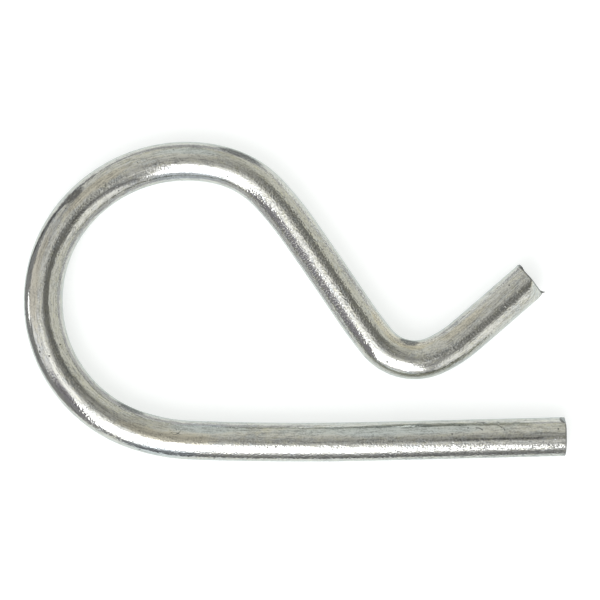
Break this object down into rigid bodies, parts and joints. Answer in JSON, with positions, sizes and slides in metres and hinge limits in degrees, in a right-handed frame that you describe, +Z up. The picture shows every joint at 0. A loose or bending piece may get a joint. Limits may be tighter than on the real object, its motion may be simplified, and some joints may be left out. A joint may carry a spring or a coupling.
{
  "type": "hitch r clip pin",
  "caption": "Round spring wire bent into an R: a straight shank goes through the cross hole of a hitch pin, and a humped leg springs over the pin's outside and holds it.",
  "frame": {"origin": "under the middle of the clip's outline, on the surface that the wire lies on", "axes": "+X along the shank towards its free end, +Y from the shank to the crown of the loop, +Z up out of the plane of the wire"},
  "size_m": [0.0552, 0.0332, 0.004],
  "materials": {
    "zinc_plate": "bright zinc plate on drawn spring wire, with fine drawing lines, small pits and rubbed forming marks"
  },
  "bodies": {
    "root": {"clip": "zinc_plate"}
  },
  "joints": []
}
